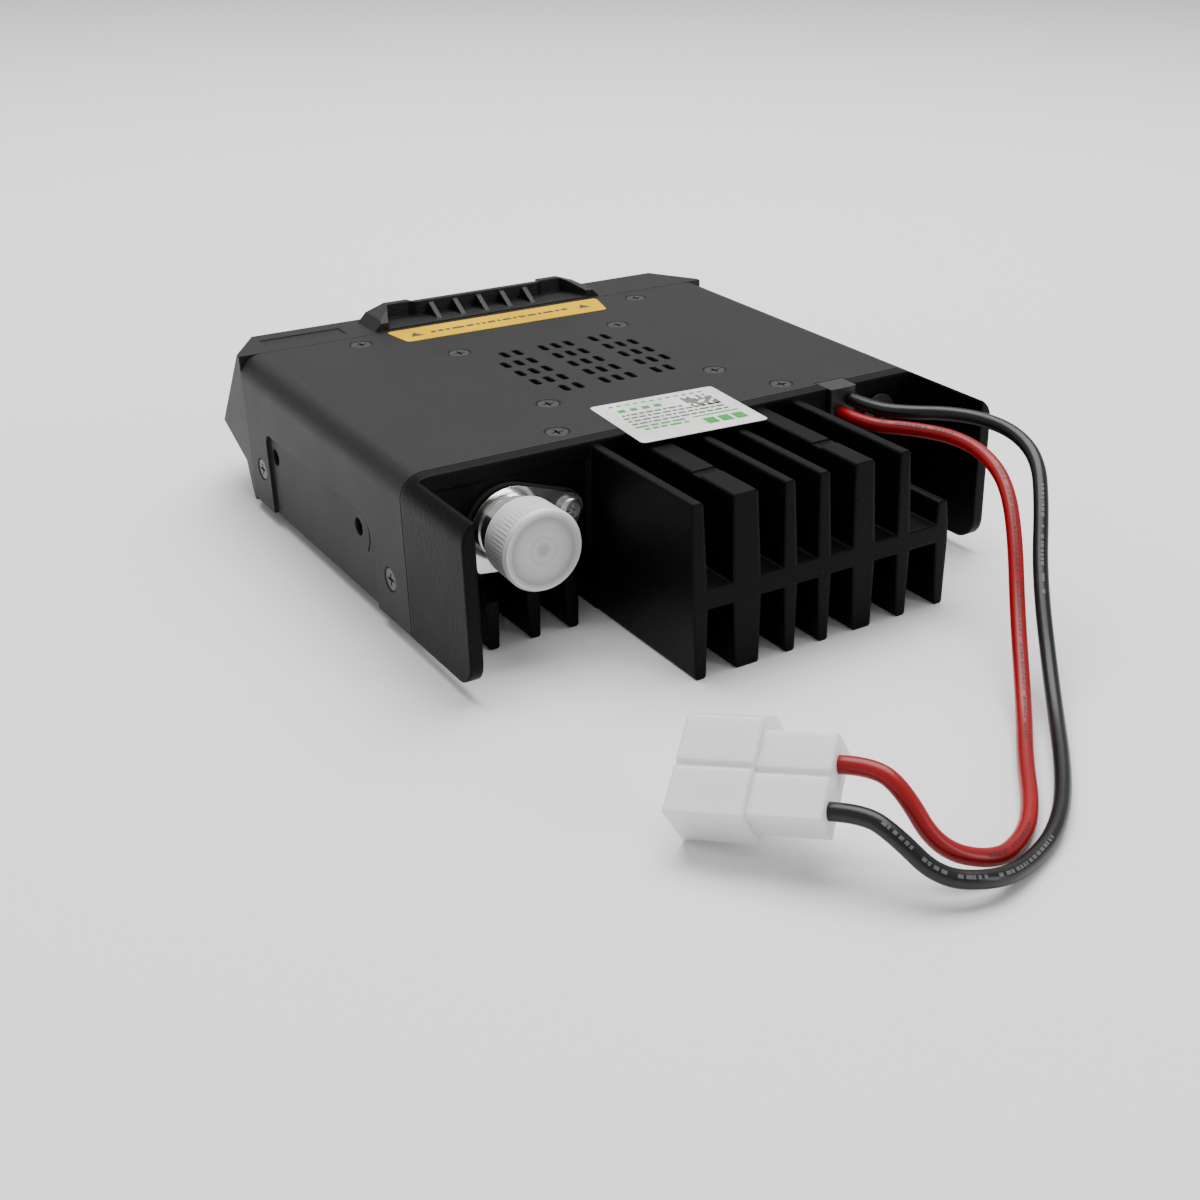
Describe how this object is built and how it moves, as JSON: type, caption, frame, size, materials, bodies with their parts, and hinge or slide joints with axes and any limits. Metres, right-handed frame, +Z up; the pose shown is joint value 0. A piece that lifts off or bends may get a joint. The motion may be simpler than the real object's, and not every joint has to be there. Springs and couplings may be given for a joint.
{
  "type": "mobile transceiver",
  "caption": "Dash mounted mobile radio transceiver: finned die cast body, slotted sheet cover, sloping front panel with dials and keys, rear antenna socket with cap, and a two wire power lead.",
  "frame": {"origin": "on the body's centre plane and the plane that the fins stand on, 95 mm ahead of the rear tips of the fins, at the middle of the body without its front panel's nose", "axes": "+Z up, -Y out of the front panel, +Y out of the rear with the antenna socket, +X to the right as seen from behind the front panel looking to the rear"},
  "size_m": [0.143, 0.2776, 0.0465],
  "materials": {
    "cast_black": "black coated die casting, semi matt",
    "cover_paint": "charcoal fine texture powder coat on steel sheet",
    "panel_plastic": "fine grained dark plastic",
    "knob_plastic": "matt dark plastic",
    "key_plastic": "smooth dark plastic",
    "window": "smoked clear plastic",
    "display": "dim amber panel",
    "board": "green coated laminate",
    "chip": "moulded epoxy",
    "component": "moulded plastic",
    "can": "plain",
    "tin": "tin plated sheet",
    "black_steel": "black oxide steel",
    "steel": "plated steel",
    "nickel": "bright nickel plate",
    "brass": "bright",
    "insulator": "white insulator",
    "rubber": "matt",
    "milky": "milky translucent plastic",
    "red_pvc": "glossy flexible sheath",
    "black_pvc": "glossy flexible sheath",
    "amber_film": "printed film",
    "white_film": "printed film",
    "magnet": "ferrite",
    "paper": "black paper cone",
    "cloth": "thin woven cloth",
    "ribbon": "flat flexible cable"
  },
  "bodies": {
    "body": {"antenna_socket": "nickel", "black_lead": "black_pvc", "board_headers": "component", "board_screws": "steel", "capacitors": "can", "caution_label": "amber_film", "channel_encoder": "component", "chassis": "cast_black", "chips": "chip", "cover_screws": "black_steel", "display_module": "display", "display_window": "window", "front_board": "board", "front_panel": "panel_plastic", "key_switches": "component", "lead_clamp": "rubber", "main_board": "board", "mic_contacts": "brass", "mic_socket": "component", "plate_label": "white_film", "plug_housing": "milky", "plug_terminals": "brass", "power_module": "chip", "red_lead": "red_pvc", "ribbon": "ribbon", "shield_can": "tin", "side_screws": "black_steel", "socket_contact": "brass", "socket_gasket": "rubber", "socket_insulator": "insulator", "socket_screws": "steel", "speaker_cloth": "cloth", "speaker_cone": "paper", "speaker_frame": "steel", "speaker_jack": "component", "speaker_magnet": "magnet", "top_cover": "cover_paint", "volume_pot": "component"},
    "volume_dial": {"volume_knob": "knob_plastic", "volume_shaft": "steel"},
    "channel_push": {"channel_plunger": "insulator"},
    "channel_dial": {"channel_knob": "knob_plastic", "channel_shaft": "steel"},
    "dust_cap": {"dust_cap": "milky"},
    "key_1": {"key_1": "key_plastic"},
    "key_2": {"key_2": "key_plastic"},
    "key_3": {"key_3": "key_plastic"},
    "key_4": {"key_4": "key_plastic"},
    "key_5": {"key_5": "key_plastic"},
    "key_6": {"key_6": "key_plastic"}
  },
  "joints": [
    {"name": "volume_turn", "type": "hinge", "parent": "body", "child": "volume_dial", "pos_m": [-0.051, -0.07776, 0.02833], "axis": [0, -0.7826, 0.6225], "range_deg": [-150, 150]},
    {"name": "channel_click", "type": "slide", "parent": "body", "child": "channel_push", "axis": [0, 0.7826, -0.6225], "range_m": [0, 0.0005], "stiffness_N_per_m": 500, "springref_m": -0.0005},
    {"name": "channel_turn", "type": "hinge", "parent": "channel_push", "child": "channel_dial", "pos_m": [0.052, -0.07776, 0.02833], "axis": [0, -0.7826, 0.6225], "continuous": true},
    {"name": "cap_pull", "type": "slide", "parent": "body", "child": "dust_cap", "axis": [0, 1, 0], "range_m": [0, 0.03]},
    {"name": "key_1_press", "type": "slide", "parent": "body", "child": "key_1", "axis": [0, 0.7826, -0.6225], "range_m": [0, 0.0005], "stiffness_N_per_m": 400, "springref_m": -0.0005},
    {"name": "key_2_press", "type": "slide", "parent": "body", "child": "key_2", "axis": [0, 0.7826, -0.6225], "range_m": [0, 0.0005], "stiffness_N_per_m": 400, "springref_m": -0.0005},
    {"name": "key_3_press", "type": "slide", "parent": "body", "child": "key_3", "axis": [0, 0.7826, -0.6225], "range_m": [0, 0.0005], "stiffness_N_per_m": 400, "springref_m": -0.0005},
    {"name": "key_4_press", "type": "slide", "parent": "body", "child": "key_4", "axis": [0, 0.7826, -0.6225], "range_m": [0, 0.0005], "stiffness_N_per_m": 400, "springref_m": -0.0005},
    {"name": "key_5_press", "type": "slide", "parent": "body", "child": "key_5", "axis": [0, 0.7826, -0.6225], "range_m": [0, 0.0005], "stiffness_N_per_m": 400, "springref_m": -0.0005},
    {"name": "key_6_press", "type": "slide", "parent": "body", "child": "key_6", "axis": [0, 0.7826, -0.6225], "range_m": [0, 0.0005], "stiffness_N_per_m": 400, "springref_m": -0.0005}
  ]
}
